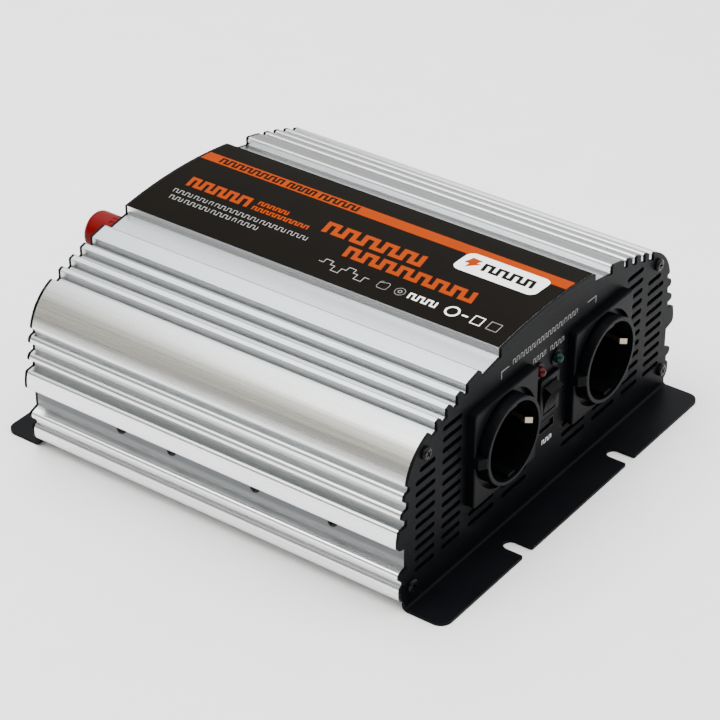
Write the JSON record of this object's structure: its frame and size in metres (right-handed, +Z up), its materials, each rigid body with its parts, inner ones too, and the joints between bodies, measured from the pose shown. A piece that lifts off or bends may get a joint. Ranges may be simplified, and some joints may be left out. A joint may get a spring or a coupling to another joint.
{
  "type": "power inverter",
  "caption": "Finned aluminium box that turns battery current into mains current, with earthed sockets, a rocker switch and a charging port on a black flanged end plate.",
  "frame": {"origin": "centre of the bounding box at the underside of the mounting flanges", "axes": "+Z up; sockets and switch face -Y, battery terminals face +Y; +X to the right as seen from the socket side"},
  "size_m": [0.2312, 0.264, 0.1023],
  "materials": {
    "housing": "satin clear anodised extrusion",
    "plate": "black powder coat",
    "screw": "black oxide",
    "label": null,
    "socket": "black moulded plastic",
    "nickel": "nickel plated spring",
    "brass": "plain",
    "switch": "black moulded plastic",
    "lens_red": "tinted lens",
    "lens_green": "tinted lens",
    "steel": "zinc plated",
    "usb_white": "white moulded plastic",
    "red": "red moulded plastic",
    "black": "black moulded plastic",
    "fan": "black glass filled plastic",
    "wire": "plated wire",
    "board": "green solder mask",
    "ferrite": "ferrite",
    "tape": "yellow winding tape",
    "can": "shrink sleeve on can",
    "copper": "enamelled copper",
    "fuse": "tinted fuse body",
    "package": "moulded package",
    "pad": "thermal pad"
  },
  "bodies": {
    "case": {"blade_fuses": "fuse", "board_standoffs": "brass", "bus_capacitors": "can", "clamp_bars": "housing", "clamp_screws": "screw", "control_board": "board", "dc_negative_base": "black", "dc_negative_bus_bar": "copper", "dc_negative_nut": "brass", "dc_negative_stud": "brass", "dc_positive_base": "red", "dc_positive_bus_bar": "copper", "dc_positive_nut": "brass", "dc_positive_stud": "brass", "fan_left_frame": "fan", "fan_left_guard": "wire", "fan_left_screws": "steel", "fan_right_frame": "fan", "fan_right_guard": "wire", "fan_right_screws": "steel", "fault_lamp": "lens_red", "front_plate": "plate", "front_plate_screws": "screw", "ground_stud": "brass", "housing_base": "housing", "housing_upper": "housing", "input_capacitors": "can", "insulator_strips": "pad", "led_holders": "switch", "main_board": "board", "output_choke": "copper", "power_lamp": "lens_green", "power_transistors": "package", "rear_plate": "plate", "rear_plate_screws": "screw", "socket_left_body": "socket", "socket_left_contacts": "brass", "socket_left_earth_clips": "nickel", "socket_right_body": "socket", "socket_right_contacts": "brass", "socket_right_earth_clips": "nickel", "switch_case": "switch", "switch_terminals": "brass", "top_label": "label", "transformer_cores": "ferrite", "transformer_windings": "tape", "usb_shell": "steel", "usb_tongue": "usb_white"},
    "rocker": {"switch_rocker": "switch"},
    "fan_left": {"fan_left_rotor": "fan"},
    "fan_right": {"fan_right_rotor": "fan"},
    "positive_collar": {"dc_positive_collar": "brass"},
    "positive_knob": {"dc_positive_knob": "red"},
    "negative_collar": {"dc_negative_collar": "brass"},
    "negative_knob": {"dc_negative_knob": "black"},
    "ground_washer": {"ground_washer": "steel"},
    "ground_nut": {"ground_wing_nut": "steel"}
  },
  "joints": [
    {"name": "rocker_rock", "type": "hinge", "parent": "case", "child": "rocker", "pos_m": [0, -0.1116, 0.0544], "axis": [1, 0, 0], "range_deg": [-34, 0]},
    {"name": "fan_left_spin", "type": "hinge", "parent": "case", "child": "fan_left", "pos_m": [-0.068, 0.0965, 0.044], "axis": [0, 1, 0], "continuous": true},
    {"name": "fan_right_spin", "type": "hinge", "parent": "case", "child": "fan_right", "pos_m": [0.068, 0.0965, 0.044], "axis": [0, 1, 0], "continuous": true},
    {"name": "positive_knob_travel", "type": "slide", "parent": "case", "child": "positive_collar", "axis": [0, 1, 0], "range_m": [0, 0.00502]},
    {"name": "positive_knob_turn", "type": "hinge", "parent": "positive_collar", "child": "positive_knob", "pos_m": [-0.031, 0.1205, 0.0736], "axis": [0, 1, 0], "range_deg": [0, 1440]},
    {"name": "negative_knob_travel", "type": "slide", "parent": "case", "child": "negative_collar", "axis": [0, 1, 0], "range_m": [0, 0.00502]},
    {"name": "negative_knob_turn", "type": "hinge", "parent": "negative_collar", "child": "negative_knob", "pos_m": [0.031, 0.1205, 0.0616], "axis": [0, 1, 0], "range_deg": [0, 1440]},
    {"name": "ground_nut_travel", "type": "slide", "parent": "case", "child": "ground_washer", "axis": [0, 1, 0], "range_m": [0, 0.00322]},
    {"name": "ground_nut_turn", "type": "hinge", "parent": "ground_washer", "child": "ground_nut", "pos_m": [0, 0.109, 0.044], "axis": [0, 1, 0], "range_deg": [0, 1440]}
  ],
  "couplings": [
    {"joint": "positive_knob_travel", "follows": "positive_knob_turn", "m_per_rad": 0.00019894},
    {"joint": "negative_knob_travel", "follows": "negative_knob_turn", "m_per_rad": 0.00019894},
    {"joint": "ground_nut_travel", "follows": "ground_nut_turn", "m_per_rad": 0.00012732}
  ]
}
